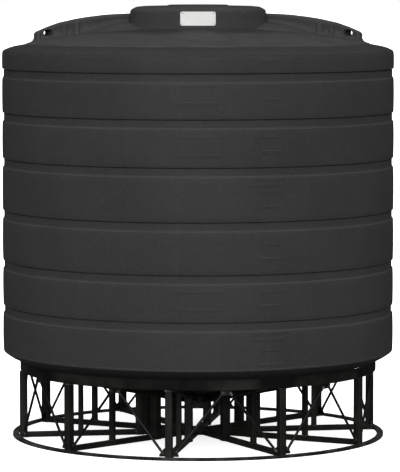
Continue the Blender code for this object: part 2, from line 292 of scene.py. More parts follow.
def grain_height(group, given, place, normal):
    """Fine pebbled skin of a moulded or sprayed surface."""
    fine = add_noise(group, place, given["Scale"], detail=3.0, roughness=0.6)
    coarse_scale = add_math(group, "MULTIPLY", given["Scale"], 0.13)
    coarse = add_noise(group, place, coarse_scale, detail=1.0)
    return add_math(group, "ADD", fine, add_math(group, "MULTIPLY", coarse, given["Coarse Share"]))


def cloud_mask(group, given, place, normal):
    """Broad uneven patches."""
    value = add_noise(group, place, given["Scale"], detail=4.0, roughness=0.55)
    return add_range(group, value, given["Low"], given["High"])


def dust_and_sheen_mask(group, given, place, normal):
    """Dust, and on the plastic a painted sheen, on faces that look up, broken up by noise, between two
    distances from the axis.
    """
    upward = add_range(group, add_upward(group, normal), given["Steepest"], 1.0)
    broken = add_noise(group, place, given["Scale"], detail=5.0, roughness=0.65)
    broken = add_range(group, broken, 0.25, 0.75, 0.45, 1.0)
    flat = add_product(group, place, (1.0, 1.0, 0.0))
    distance = add_node(group, "VectorMath", {0: flat}, operation="LENGTH").outputs["Value"]
    wander = add_math(group, "MULTIPLY", add_noise(group, place, 2.5, detail=3.0, roughness=0.6), 0.1)
    past_edge = add_math(group, "ADD", add_math(group, "SUBTRACT", distance, given["Edge"]), wander)
    inside = add_range(group, past_edge, 0.02, -0.02)
    started = add_range(group, add_math(group, "SUBTRACT", distance, given["Start"]), 0.0, 0.3)
    return add_masks(group, upward, broken, inside, started, given["Amount"])


def wear_and_sheen_mask(group, given, place, normal):
    """Rubbed edges, and on the plastic's lips a painted highlight: where the rounded normal leaves the true
    one, broken up by noise.
    """
    bevel = add_node(group, "Bevel", {"Radius": given["Radius"]}, samples=4)
    normals = {0: bevel.outputs["Normal"], 1: normal}
    agreement = add_node(group, "VectorMath", normals, operation="DOT_PRODUCT").outputs["Value"]
    edge = add_range(group, agreement, 0.99, 0.8)
    broken = add_noise(group, place, given["Scale"], detail=4.0, roughness=0.6)
    return add_masks(group, edge, add_range(group, broken, 0.34, 0.58), given["Amount"])


def run_mask(group, given, place, normal):
    """Long marks that run down: rain on plastic, rust on steel."""
    stretched = add_product(group, place, (14.0, 14.0, 0.7))
    value = add_noise(group, stretched, given["Scale"], detail=4.0, roughness=0.6)
    return add_range(group, value, given["Low"], given["High"])


def scuff_mask(group, given, place, normal):
    """Short thin level scuffs on upright faces, from straps and handling."""
    upright = add_range(group, add_upward(group, normal), 0.55, 0.25)
    stretched = add_product(group, place, (2.2, 2.2, 26.0))
    value = add_noise(group, stretched, given["Scale"])
    away = add_math(group, "ABSOLUTE", add_math(group, "SUBTRACT", value, 0.5))
    line = add_range(group, away, given["Width"], 0.0)
    gate = add_noise(group, place, 3.1, detail=3.0, roughness=0.6)
    return add_masks(group, line, add_range(group, gate, 0.56, 0.68), upright)


def patches(scale, low, high):
    """A group's scale, and the noise where its patches start and are full."""
    return {"Scale": scale, "Low": low, "High": high}


GRAIN = make_group("surface_grain", {"Scale": 220.0, "Coarse Share": 0.4}, "Height", grain_height)
CLOUD = make_group("uneven_tone", patches(1.4, 0.35, 0.65), "Mask", cloud_mask)
# Lighter tone on upward faces: dust, and on the plastic also a painted sheen where those faces catch the
# light
DUST_AND_SHEEN = make_group("settled_dust_and_sheen", {
    "Amount": 0.5, "Scale": 9.0, "Steepest": 0.25, "Start": -1.0, "Edge": 90.0
}, "Mask", dust_and_sheen_mask)
# Lighter tone on rounded edges: wear, and on the plastic's lips also a painted highlight
WEAR_AND_SHEEN = make_group("edge_wear_and_sheen", {"Radius": 0.006, "Scale": 60.0, "Amount": 0.6}, "Mask", wear_and_sheen_mask)
RUNS = make_group("down_runs", patches(1.0, 0.56, 0.74), "Mask", run_mask)
SCUFFS = make_group("handling_scuffs", {"Scale": 1.0, "Width": 0.012}, "Mask", scuff_mask)


def use_group(tree, group, values):
    """Places a shader group in a material and returns its output."""
    return add_node(tree, "Group", values, node_tree=group).outputs[0]


def tint(tree, colour, over, mask, share=1.0):
    """Mixes a colour over another, or over a socket, by a mask."""
    node = add_node(tree, "Mix", {"Factor": add_masks(tree, mask, share)}, data_type="RGBA")
    for label, value in (("A", colour), ("B", over)):
        socket = next(s for s in node.inputs if s.name == label and s.type == "RGBA")
        feed(tree, (*value, 1.0) if isinstance(value, tuple) else value, socket)
    return next(s for s in node.outputs if s.type == "RGBA")


def new_material(name, constants):
    """A new material, its node tree, and its shader with some inputs set."""
    made = bpy.data.materials.new(name)
    made.use_nodes = True
    shader = made.node_tree.nodes["Principled BSDF"]
    for label, value in constants.items():
        shader.inputs[label].default_value = value
    return made, made.node_tree, shader


def add_grain(tree, shader, scale, coarse_share, depth, strength):
    """Turns a fine grain into the shader's normal."""
    height = use_group(tree, GRAIN, {"Scale": scale, "Coarse Share": coarse_share})
    bump = add_node(tree, "Bump", {"Height": height, "Distance": depth, "Strength": strength})
    tree.links.new(bump.outputs["Normal"], shader.inputs["Normal"])


def make_skin(name, specular, colour, layers, patch, gloss, spread, grain, metallic=0.0):
    """A material with colours in layers, a roughness that varies in patches, and a grain.

    A layer is a colour, a group for its mask, the group's values and a share. The grain is a scale, a share
    of coarse grain, a depth and a strength.
    """
    made, tree, shader = new_material(name, {"Specular IOR Level": specular, "Metallic": metallic})
    for over, group, values, share in layers:
        colour = tint(tree, colour, over, use_group(tree, group, values), share)
    tree.links.new(colour, shader.inputs["Base Color"])
    cloud = use_group(tree, CLOUD, patches(patch, 0.3, 0.7))
    tree.links.new(add_range(tree, cloud, 0.0, 1.0, gloss, gloss + spread), shader.inputs["Roughness"])
    add_grain(tree, shader, *grain)
    return made


def make_moulded_plastic(
    name, tone, dust_and_sheen_share, grain_scale=230.0, rough=0.52, wear_and_sheen_share=0.7, dust_and_sheen_from=-1.0, dust_and_sheen_to=90.0
):
    """Matt black moulded plastic: pebbled skin, cloudy tone, rain marks, scuffs, rubbed lips that also carry
    a painted highlight, and dust that also paints a sheen on upward faces.
    """
    deep = (tone * 0.87, tone * 0.87, tone * 0.88)
    speck = (tone * 1.5,) * 3
    return make_skin(name, 0.25, deep, (
        ((tone,) * 3, CLOUD, patches(1.3, 0.3, 0.7), 1.0),
        (speck, CLOUD, patches(60.0, 0.42, 0.6), 0.36),
        (RAIN_GREY, RUNS, patches(1.0, 0.58, 0.8), 0.22),
        (SCUFF_GREY, SCUFFS, {"Scale": 1.0, "Width": 0.01}, 0.35),
        # Painted highlight on the lips and rounded edges, partly rubbing
        (RUBBED_AND_SHEEN_GREY, WEAR_AND_SHEEN, {"Radius": 0.01, "Scale": 45.0, "Amount": 0.8}, wear_and_sheen_share),
        # Painted sheen on upward faces and lips, partly dust; from and to set where it starts and ends
        (DUST_AND_SHEEN_GREY, DUST_AND_SHEEN, {"Amount": dust_and_sheen_share, "Scale": 6.0, "Start": dust_and_sheen_from, "Edge": dust_and_sheen_to}, 1.0),
    ), 5.0, rough, 0.12, (grain_scale, 0.6, 0.001, 0.35))


def make_painted_steel(name, rust_share, gloss, specular, deep, pale, patch, dust_and_sheen_share=0.4):
    """Near-black paint on welded steel: brush-thin spots, chipped edges, rust runs and dust."""
    return make_skin(name, specular, deep, (
        (pale, CLOUD, patches(patch, 0.4, 0.7), 1.0),
        (STEEL_RUST, RUNS, patches(2.0, 0.62, 0.8), rust_share),
        (CHIPPED_PAINT, WEAR_AND_SHEEN, {"Radius": 0.004, "Scale": 70.0, "Amount": 1.0}, 0.55),
        (STEEL_DUST, DUST_AND_SHEEN, {"Amount": dust_and_sheen_share, "Scale": 16.0, "Steepest": 0.3}, 1.0),
    ), 9.0, gloss, 0.16, (420.0, 1.4, 0.0005, 0.3))


def make_weld_metal():
    """Weld beads: thin paint over ripples, with bare metal showing in spots."""
    made, tree, shader = new_material("weld_metal", {"Specular IOR Level": 0.5, "Roughness": 0.38})
    bare = use_group(tree, CLOUD, patches(22.0, 0.5, 0.6))
    rust = use_group(tree, CLOUD, patches(13.0, 0.56, 0.68))
    colour = tint(tree, tint(tree, BEAD_PAINT, BEAD_METAL, bare), BEAD_RUST, rust, 0.7)
    tree.links.new(colour, shader.inputs["Base Color"])
    tree.links.new(add_math(tree, "MULTIPLY", bare, 0.55), shader.inputs["Metallic"])
    add_grain(tree, shader, 900.0, 1.0, 0.0004, 0.5)
    return made


PLASTIC = make_moulded_plastic("moulded_plastic", 0.0335, 0.28)
PANEL_PLASTIC = make_moulded_plastic("panel_plastic", 0.0335, 0.15, wear_and_sheen_share=0.0)
# Roof: a base darker than the wall's, painted shade on the rim outside the step and round the crown's foot,
# with painted sheen inside the step
ROOF_PLASTIC = make_moulded_plastic(
    "roof_plastic", 0.0258, 0.22, rough=0.68, wear_and_sheen_share=0.2, dust_and_sheen_from=0.78, dust_and_sheen_to=ROOF_STEP_RADIUS + 0.05
)
CROWN_PLASTIC = make_moulded_plastic("crown_plastic", 0.032, 0.03, rough=0.6, wear_and_sheen_share=0.2)
RIDGE_PLASTIC = make_moulded_plastic("ridge_plastic", 0.036, 0.03, rough=0.6, wear_and_sheen_share=0.2)
LID_PLASTIC = make_moulded_plastic("lid_plastic", 0.03, 0.08, grain_scale=420.0)
STEEL, ROD_STEEL, RING_STEEL, GROUND_STEEL = (make_painted_steel(*finish) for finish in (
    ("painted_steel", 0.35, 0.38, 0.34, (0.0075, 0.0075, 0.007), (0.0175, 0.018, 0.0128), 3.2),
    ("rod_steel", 0.2, 0.24, 0.5, (0.004, 0.004, 0.0038), (0.009, 0.009, 0.0075), 2.0, 0.05),
    ("ring_steel", 0.45, 0.56, 0.22, (0.0035, 0.0035, 0.0034), (0.023, 0.023, 0.019), 1.7),
    ("ground_steel", 0.45, 0.34, 0.45, (0.0045, 0.0045, 0.0043), (0.048, 0.0475, 0.045), 7.0, 0.15),
))
WELD = make_weld_metal()

# Zinc on the outlet's bolts and the plate's rivets
ZINC = make_skin("zinc_bolt", 0.5, (0.42, 0.42, 0.41), (
    ((0.27, 0.26, 0.24), CLOUD, patches(60.0, 0.35, 0.65), 1.0),
), 90.0, 0.32, 0.2, (1500.0, 0.5, 0.0002, 0.4), metallic=1.0)

# White plastic with a faint yellowing, rain marks and grime toward its edges
PLATE = make_skin("plate_white", 0.5, (0.66, 0.66, 0.65), (
    ((0.61, 0.6, 0.575), CLOUD, patches(7.0, 0.45, 0.75), 1.0),
    ((0.42, 0.4, 0.36), RUNS, patches(3.0, 0.6, 0.85), 0.25),
    ((0.34, 0.33, 0.31), WEAR_AND_SHEEN, {"Radius": 0.006, "Scale": 90.0, "Amount": 1.0}, 0.5),
), 30.0, 0.3, 0.14, (600.0, 1.0, 0.0002, 0.25))

# The part's slot for each finish but the moulded plastic
SLOTS = dict.fromkeys((STEEL, ROD_STEEL, RING_STEEL, GROUND_STEEL, WELD, ZINC), "painted_steel")
SLOTS[PLATE] = "plate_white"


def rounded(points, steps):
    """A polyline of (radius, height, fillet) points with each corner rounded to its fillet."""
    path = []
    for i, (x, z, fillet) in enumerate(points):
        here = Vector((x, z))
        if fillet <= 0.0 or i in (0, len(points) - 1):
            path.append(here)
            continue
        before = Vector(points[i - 1][:2]) - here
        after = Vector(points[i + 1][:2]) - here
        reach = min(before.length, after.length) * 0.48
        cut = min(fillet / tan(before.angle(after) / 2), reach)
        first = here + before.normalized() * cut
        last = here + after.normalized() * cut
        for share in (step / steps for step in range(steps + 1)):
            path.append(first.lerp(here, share).lerp(here.lerp(last, share), share))
    return [(p.x, p.y) for p in path]


def around(radius, angle, height):
    """A point at a distance and a turn round the axis."""
    return Vector((radius * cos(angle), radius * sin(angle), height))


def linked(name, data):
    """A new object of the scene."""
    made = bpy.data.objects.new(name, data)
    bpy.context.scene.collection.objects.link(made)
    return made


def mesh_from(name, shape):
    """A mesh from a bmesh, with its normals facing out."""
    bmesh.ops.recalc_face_normals(shape, faces=shape.faces)
    mesh = bpy.data.meshes.new(name)
    shape.to_mesh(mesh)
    shape.free()
    return mesh


def piece(name, shape, material, nodes=(), turn_deg=0.0, smooth_deg=38.0):
    """Makes an object of a mesh or a bmesh, gives it its finish, and puts it on the frame."""
    mesh = mesh_from(name, shape) if isinstance(shape, bmesh.types.BMesh) else shape
    if not mesh.materials:
        mesh.materials.append(material)
    for polygon in mesh.polygons:
        polygon.use_smooth = True
    mesh.set_sharp_from_angle(angle=radians(smooth_deg))
    made = linked(name, mesh)
    made.rotation_euler.z = radians(turn_deg)
    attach(made, BODY)
    if nodes:
        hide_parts(*nodes)


def turned(outline, steps, uneven=lambda radius, height, angle: radius):
    """A closed outline turned about the axis. uneven may move each point in or out."""
    shape = bmesh.new()
    rows = []
    for radius, height in outline:
        angles = [2 * pi * step / steps for step in range(steps if radius > 0.0 else 1)]
        spots = [around(uneven(radius, height, angle), angle, height) for angle in angles]
        rows.append([shape.verts.new(spot) for spot in spots])
    pairs = list(zip(rows, rows[1:]))
    if len(rows[0]) > 1 or len(rows[-1]) > 1:
        pairs.append((rows[-1], rows[0]))
    for upper, lower in pairs:
        for step in range(steps):
            ahead = (step + 1) % steps
            ring = []
            for row, index in ((upper, step), (upper, ahead), (lower, ahead), (lower, step)):
                vert = row[index] if len(row) > 1 else row[0]
                if vert not in ring:
                    ring.append(vert)
            if len(ring) > 2:
                shape.faces.new(ring)
    return shape


def bridge(shape, spots, closed=False):
    """Skins rows of points that each run round the same section, and caps the ends or joins them."""
    rows = [[shape.verts.new(spot) for spot in row] for row in spots]
    count = len(rows[0])
    pairs = list(zip(rows, rows[1:]))
    if closed:
        pairs.append((rows[-1], rows[0]))
    for first, second in pairs:
        for i in range(count):
            j = (i + 1) % count
            shape.faces.new((first[i], first[j], second[j], second[i]))
    if not closed:
        shape.faces.new(rows[0])
        shape.faces.new(rows[-1][::-1])


def add_bar(shape, start, end, width, depth, corner, up=(0, 0, 1), arc_steps=3):
    """A square bar with rounded edges between two points. Width is level across it, depth is along up."""
    start, end = Vector(start), Vector(end)
    along = (end - start).normalized()
    side = along.cross(Vector(up)).normalized()
    high = side.cross(along).normalized()
    section = []
    for quarter in range(4):
        sx = 1 if quarter in (0, 3) else -1
        sz = 1 if quarter in (0, 1) else -1
        for step in range(arc_steps + 1):
            turn = radians(90 * quarter + 90 * step / arc_steps)
            x = sx * (width / 2 - corner) + corner * cos(turn)
            z = sz * (depth / 2 - corner) + corner * sin(turn)
            section.append((x, z))
    bridge(shape, [[point + side * x + high * z for x, z in section] for point in (start, end)])


def add_tube(shape, path, radii, sides=8, closed=False):
    """A round tube along a path with a radius at each point."""
    rows = []
    count = len(path)
    turns = [2 * pi * k / sides for k in range(sides)]
    for i, point in enumerate(path):
        ahead = path[(i + 1) % count] if closed or i < count - 1 else point
        behind = path[i - 1] if closed or i > 0 else point
        along = (ahead - behind).normalized()
        side = along.cross(Vector((0, 0, 1)))
        if side.length < 0.05:
            side = along.cross(Vector((1, 0, 0)))
        side.normalize()
        high = side.cross(along).normalized()
        rows.append([point + (side * cos(turn) + high * sin(turn)) * radii[i] for turn in turns])
    bridge(shape, rows, closed)


def applied(name, meshes, operation):
    """The first mesh after a Boolean with each other one. Nothing else stays in the scene."""
    base, *others = solids = [linked(name, mesh) for mesh in meshes]
    for other in others:
        step = base.modifiers.new("step", "BOOLEAN")
        step.operation = operation
        step.solver = "EXACT"
        step.object = other
    bpy.context.view_layer.update()
    graph = bpy.context.evaluated_depsgraph_get()
    mesh = bpy.data.meshes.new_from_object(base.evaluated_get(graph))
    mesh.name = name
    for solid in solids:
        bpy.data.objects.remove(solid, do_unlink=True)
    return mesh


def dome_height(radius):
    """Height of the roof's dome at a radius."""
    return DOME_PEAK - DOME_RADIUS + sqrt(DOME_RADIUS**2 - radius**2)


def cone_height(radius):
    """Height of the cone's underside at a radius."""
    return CHAMFER_HEIGHT - (CHAMFER_RADIUS - radius) * CONE_SLOPE


def smooth(share):
    """A share from 0 to 1, eased in and out."""
    return share * share * (3.0 - 2.0 * share)


def wall_ripple(radius, height, angle):
    """The moulded wall's slight unevenness round and up the tank."""
    if radius < TANK_RADIUS - 0.02:
        return radius
    spot = around(2.2, angle, height * 1.3)
    return radius + RIPPLE_BROAD * noise.noise(spot) + RIPPLE_FINE * noise.noise(spot * 4.0)


def band_spans():
    """Top and bottom of each band, from the top band down."""
    tops = (WALL_TOP,) + tuple(top - GROOVE_HEIGHT for top in GROOVE_TOPS)
    return tuple(zip(tops, GROOVE_TOPS + (WALL_BOTTOM,)))


def band_face(height, low, high):
    """Radius of a band's face at a height: it bulges between its edges."""
    share = (height - low) / (high - low)
    return FACE_RADIUS + BAND_SWELL * max(0.0, sin(pi * share)) ** 0.7


def wall_points():
    """The wall's outer face from the top down: bands that swell a little between undercut grooves."""
    points = [(FACE_RADIUS, WALL_TOP, 0.0)]
    floor = FACE_RADIUS - GROOVE_DEPTH
    for high, low in band_spans():
        if high < WALL_TOP:
            points.append((FACE_RADIUS - 0.0005, high - 0.002, 0.007))
        for step in range(1, BAND_STEPS):
            z = high + (low - high) * step / BAND_STEPS
            points.append((band_face(z, low, high), z, 0.0))
        if low > WALL_BOTTOM:
            points += [
                (FACE_RADIUS, low, 0.003),
                (FACE_RADIUS - GROOVE_UNDERCUT, low - 0.003, 0.002),
                (floor, low - 0.012, 0.003),
                (floor - 0.001, low - GROOVE_HEIGHT * 0.5, 0.0),
                (floor, low - GROOVE_HEIGHT + 0.014, 0.004),
            ]
    return points + [(FACE_RADIUS, WALL_BOTTOM, 0.0)]


def build_wall():
    """Wall with its six grooves, inside face and all."""
    inner = [(FACE_RADIUS - SHELL - 0.014, z) for z in (WALL_BOTTOM, 1.5, 2.5, WALL_TOP)]
    shape = turned(rounded(wall_points(), 3) + inner, WALL_STEPS, wall_ripple)
    piece("tank_wall_shell", shape, PLASTIC, ["tank_wall"])


def build_roof():
    """Dome with its rounded shoulder, a low step near the edge and the flare under the crown."""
    above_step = ROOF_STEP_RADIUS - 0.016
    outer = rounded([
        (COLLAR_RADIUS - 0.002, COLLAR_TOP, 0),
        (COLLAR_RADIUS + 0.003, dome_height(0.65) + 0.004, 0.018),
        (COLLAR_RADIUS + 0.05, dome_height(0.7) + 0.001, 0.05),
        *((r, dome_height(r), 0) for r in (0.8, 0.92, 1.05, 1.18, 1.31, 1.44)),
        (above_step, dome_height(above_step), 0.012),
        (ROOF_STEP_RADIUS, dome_height(ROOF_STEP_RADIUS) - ROOF_STEP, 0.01),
        (1.69, dome_height(1.69) - ROOF_STEP * 0.6, 0.02),
        (1.735, dome_height(1.735) - 0.007, 0.03),
        (1.7855, WALL_TOP + 0.026, 0.02),
        (FACE_RADIUS - 0.0022, WALL_TOP + 0.011, 0.012),
        (FACE_RADIUS, WALL_TOP, 0),
    ], 5)
    inner = [(FACE_RADIUS - SHELL, WALL_TOP), (1.765, WALL_TOP + 0.004)]
    inner += [(r, dome_height(r) - SHELL) for r in (1.7, 1.4, 1.1, 0.8, 0.66)]
    inner.append((COLLAR_RADIUS - SHELL, COLLAR_TOP))

    def uneven(radius, height, angle):
        if radius > 1.77:
            return wall_ripple(radius, height, angle)
        if radius < 0.75:
            return radius
        return radius + 0.002 * noise.noise(around(3.0, angle, radius * 5))

    piece("roof_dome", turned(outer + inner, ROOF_STEPS, uneven), ROOF_PLASTIC, ["tank_roof"])


def build_crown():
    """Raised crown with the manway's well and neck."""
    outer = rounded([
        (NECK_RADIUS - SHELL, NECK_TOP, 0), (NECK_RADIUS, NECK_TOP, 0.003),
        (NECK_RADIUS, WELL_FLOOR, 0.014), (WELL_RADIUS - 0.006, WELL_FLOOR, 0.02),
        (WELL_RADIUS + 0.004, CROWN_TOP + 0.006, 0.014), (0.49, CROWN_TOP + 0.003, 0.03),
        (0.565, CROWN_TOP - 0.004, 0.06), (CROWN_TOP_RADIUS + 0.001, CROWN_SHOULDER + 0.006, 0.045),
        (CROWN_TOP_RADIUS + CROWN_SLOPE * 0.04, CROWN_SHOULDER - 0.04, 0),
        (COLLAR_RADIUS - 0.002, COLLAR_TOP, 0),
    ], 6)
    inner = [
        (COLLAR_RADIUS - SHELL - 0.002, COLLAR_TOP), (CROWN_TOP_RADIUS - SHELL, CROWN_SHOULDER - 0.01),
        (0.57, CROWN_TOP - SHELL - 0.008), (WELL_RADIUS + 0.02, CROWN_TOP - SHELL),
        (WELL_RADIUS - 0.004, WELL_FLOOR - SHELL), (NECK_RADIUS - SHELL, WELL_FLOOR - SHELL),
    ]
    piece("roof_crown_shell", turned(outer + inner, CROWN_STEPS), CROWN_PLASTIC, ["roof_crown"])


def build_lid():
    """Screw lid: low dome, raised rim and grip ribs round its skirt."""
    skirt = WELL_FLOOR + 0.01
    inside = NECK_RADIUS + 0.001
    outer = rounded([
        (0, LID_TOP - 0.004, 0), (0.05, LID_TOP - 0.004, 0), (0.06, LID_TOP - 0.009, 0.003),
        (0.085, LID_TOP - 0.009, 0.003), (0.095, LID_TOP - 0.003, 0.004), (0.2, LID_TOP - 0.003, 0.006),
        (0.215, LID_TOP, 0.004), (0.262, LID_TOP - 0.001, 0.01), (LID_RADIUS - 0.004, LID_TOP - 0.01, 0.01),
        (LID_RADIUS - 0.002, skirt + 0.02, 0), (LID_RADIUS, skirt, 0.003),
    ], 4)
    inner = [(inside, skirt), (inside, NECK_TOP + 0.001), (0.0, NECK_TOP + 0.001)]

    def gripped(radius, height, angle):
        if radius < LID_RADIUS - 0.008 or height > LID_TOP - 0.01:
            return radius
        return radius - LID_RIB_DEPTH * (0.5 + 0.5 * cos(LID_RIBS * angle)) ** 3

    piece("manway_screw_lid", turned(outer + inner, LID_STEPS, gripped), LID_PLASTIC, ["manway_lid"])


def build_cone():
    """Rounded bottom corner, chamfer and shallow cone down to its neck."""
    end = cone_height(CONE_END)
    outer = rounded([
        (FACE_RADIUS, WALL_BOTTOM, 0), (FACE_RADIUS, WALL_BOTTOM - 0.016, 0.02),
        (1.776, CHAMFER_HEIGHT + 0.07, 0.03), (1.738, CHAMFER_HEIGHT + 0.045, 0.04),
        (CHAMFER_RADIUS, CHAMFER_HEIGHT, 0.02), *((r, cone_height(r), 0) for r in (1.3, 0.9, 0.5)),
        (CONE_END, end, 0.02), (CONE_END, end - OUTLET_NECK, 0),
    ], 5)
    inner = [
        (CONE_END - SHELL, end - OUTLET_NECK), (CONE_END - SHELL, end + SHELL),
        (CHAMFER_RADIUS - 0.01, CHAMFER_HEIGHT + SHELL), (1.765, WALL_BOTTOM - 0.01), (1.775, WALL_BOTTOM),
    ]
    piece("cone_bottom", turned(outer + inner, ROOF_STEPS, wall_ripple), PLASTIC, ["tank_cone"])


def build_outlet():
    """Outlet stub with two flanges and the bolts that hold the blank."""
    top = cone_height(CONE_END) - OUTLET_NECK
    blank = OUTLET_BOTTOM + 0.018
    outline = rounded([
        (0, top, 0), (OUTLET_FLANGE, top, 0.002), (OUTLET_FLANGE, top - 0.016, 0.002),
        (OUTLET_RADIUS, top - 0.016, 0.006), (OUTLET_RADIUS, blank + 0.02, 0.006),
        (OUTLET_FLANGE, blank + 0.02, 0.002), (OUTLET_FLANGE, blank, 0.0015),
        (OUTLET_FLANGE - 0.001, blank - 0.001, 0), (OUTLET_FLANGE, blank - 0.002, 0.0015),
        (OUTLET_FLANGE, OUTLET_BOTTOM, 0.002), (0, OUTLET_BOTTOM, 0),
    ], 3)
    piece("outlet_stub", turned(outline, OUTLET_STEPS), LID_PLASTIC, ["bottom_outlet"])
    nut = (blank + 0.02, blank + 0.028, 0.0085, 6)
    bolt_end = (blank + 0.028, blank + 0.034, 0.005, 12)
    shape = bmesh.new()
    for number in range(OUTLET_BOLTS):
        turn = Matrix.Rotation(radians(360 / OUTLET_BOLTS * (number + 0.5)), 4, "Z")
        for low, high, size, sides in (nut, bolt_end):
            bmesh.ops.create_cone(
                shape, cap_ends=True, segments=sides, radius1=size, radius2=size * 0.94, depth=high - low,
                matrix=turn @ Matrix.Translation((BOLT_CIRCLE, 0.0, (low + high) / 2)),
            )
    piece("outlet_bolts", shape, ZINC)


def band_radius(height, angle):
    """Radius of the wall's outer face in a band at a height."""
    for high, low in band_spans():
        if low <= height <= high:
            return wall_ripple(band_face(height, low, high), height, angle)
    return FACE_RADIUS


def add_ledge(shape, from_x, to_x, height, profile):
    """A low ledge along the wall between two distances from the middle, fading out at its ends."""
    first = asin(from_x / TANK_RADIUS) - pi / 2
    last = asin(to_x / TANK_RADIUS) - pi / 2
    rows = []
    for step in range(LEDGE_STEPS + 1):
        angle = first + (last - first) * step / LEDGE_STEPS
        ease = min(1.0, (min(step, LEDGE_STEPS - step) + 0.1) / 3.0)
        row = []
        for out, rise in profile:
            r = band_radius(height + rise, angle) + (out * ease if out > 0 else out)
            row.append(around(r, angle, height + rise))
        rows.append(row)
    bridge(shape, rows)


def build_mould_marks():
    """The blank sunk panels that the mould leaves in the bands: a lit ledge below, a shaded one above."""
    shape = bmesh.new()
    for from_x, to_x, tall, heights in PANELS:
        for height in heights:
            room = min(high - height - tall for high, _ in band_spans() if high > height + tall)
            upper = ((-0.001, min(LEDGE_REACH, room - LIP_ROOM)),) + UPPER_LEDGE
            add_ledge(shape, from_x, to_x, height, LOWER_LEDGE)
            add_ledge(shape, from_x, to_x, height + tall, upper)
    add_ledge(shape, *PANELS[1][:2], TOP_LEDGE_HEIGHT, LOWER_LEDGE)
    piece("wall_sunk_panels", shape, PANEL_PLASTIC)


def crest_height(x):
    """Height of the ridge's crest at a distance from the axis."""
    for (x0, z0), (x1, z1) in zip(RIDGE_CREST, RIDGE_CREST[1:]):
        if x <= x1:
            return z0 + (z1 - z0) * max(0.0, x - x0) / (x1 - x0)
    return RIDGE_CREST[-1][1]


def root_distance(y):
    """How far out along the ridge the crown's foot lies, at a distance from the ridge's middle."""
    return sqrt(RIDGE_ROOT_RADIUS**2 - y * y)


def ridge_path(offset):
    """Points round the ridge's footprint, moved out by an offset, from its root round the nose and back."""
    half = RIDGE_HALF + offset
    corner = max(0.006, RIDGE_NOSE_CORNER + offset)
    end = RIDGE_END + offset
    root = root_distance(half)
    straight = end - corner - root
    flat = max(0.0, half - corner)
    points = [(root + straight * step / RIDGE_SIDE_STEPS, half) for step in range(RIDGE_SIDE_STEPS + 1)]
    for step in range(1, 9):
        turn = radians(90 * step / 8)
        points.append((end - corner + corner * sin(turn), flat + corner * cos(turn)))
    points += [(end, flat * (1 - step / 4)) for step in range(1, 4)]
    return points + [(end, 0.0)] + [(x, -y) for x, y in points[::-1]]


def rib_swell(x, share):
    """How far the ribs stand out at a distance from the axis and a share of the ridge's height."""
    total = 0.0
    for centre, half_width, foot, head in RIDGE_RIBS:
        away = abs(x - centre) / half_width
        if away < 1.0:
            total += smooth(min(1.0, 1.6 * (1.0 - away))) * (head + (foot - head) * (1.0 - share))
    return total * min(1.0, 6.0 * (1.0 - share))


def ridge_vertex(x, y, offset, share):
    """Where a footprint point lands: flared at the foot and root, leaning with the crown at its root."""
    flare = smooth(min(1.0, max(0.0, 1.0 - (x - 0.62) / 0.5)))
    is_skirt = offset > 0.002
    y_out = y * (1.0 + 2.6 * flare * offset / 0.06) if is_skirt else y
    lift = share if offset > 0.059 else share + 0.36 * flare * (1.0 - share)
    if abs(y) > 0.5 * RIDGE_HALF and x < RIDGE_END - 0.02:
        y_out += copysign(max(0.0, rib_swell(x, share) - max(0.0, offset)), y)
    near_root = max(0.0, 1.0 - (x - root_distance(y)) / 0.15)
    x_out = x + (root_distance(y_out) - root_distance(y)) * near_root
    foot = dome_height(hypot(x_out, y_out)) - 0.001
    z = foot + (crest_height(x_out) - foot) * lift
    near_crown = max(0.0, 1.0 - (x_out - 0.64) / 0.12)
    return Vector((x_out - RIDGE_LEAN * max(0.0, z - COLLAR_TOP) * near_crown, y_out, z))


def ridge_mesh():
    """Ridge with a flared foot, near-upright ribbed sides, rounded crest and a blunt nose."""
    shape = bmesh.new()
    levels = [[ridge_vertex(x, y, *level) for x, y in ridge_path(level[0])] for level in RIDGE_LEVELS]
    buried = [point - Vector((0, 0, 0.006)) for point in levels[0]]
    rows = [[shape.verts.new(point) for point in row] for row in [buried] + levels]
    length = len(buried)
    middle = length // 2
    for low, high in zip(rows, rows[1:]):
        for i in range(length - 1):
            shape.faces.new((low[i], low[i + 1], high[i + 1], high[i]))
        shape.faces.new((low[0], high[0], high[-1], low[-1]))
    for row in (rows[0], rows[-1]):
        for i in range(middle - 1):
            shape.faces.new((row[i], row[i + 1], row[length - 2 - i], row[length - 1 - i]))
        shape.faces.new((row[middle - 1], row[middle], row[middle + 1]))
    return mesh_from("lifting_ridge", shape)


def eye_cutter():
    """The eye's opening: a long round hole with flared mouths that narrows and slants outward to the back."""
    rows = []
    for y, grow in EYE_MOUTHS + tuple((-y, grow) for y, grow in EYE_MOUTHS[::-1]):
        share = min(1.0, max(0.0, (y + RIDGE_HALF) / (2 * RIDGE_HALF)))
        radius = EYE_HALF_HEIGHT + (EYE_BACK_HALF_HEIGHT - EYE_HALF_HEIGHT) * share
        half = EYE_HALF_LENGTH + (EYE_BACK_HALF_LENGTH - EYE_HALF_LENGTH) * share - radius
        centre = EYE_CENTRE[0] + EYE_SLANT * share
        row = []
        for side in (1, -1):
            for step in range(11):
                turn = radians(-90 + 180 * step / 10)
                x = centre + side * (half + (radius + grow) * cos(turn))
                row.append((x, y, EYE_CENTRE[1] + side * (radius + grow) * sin(turn)))
        rows.append(row)
    shape = bmesh.new()
    bridge(shape, rows)
    return mesh_from("eye_cutter", shape)


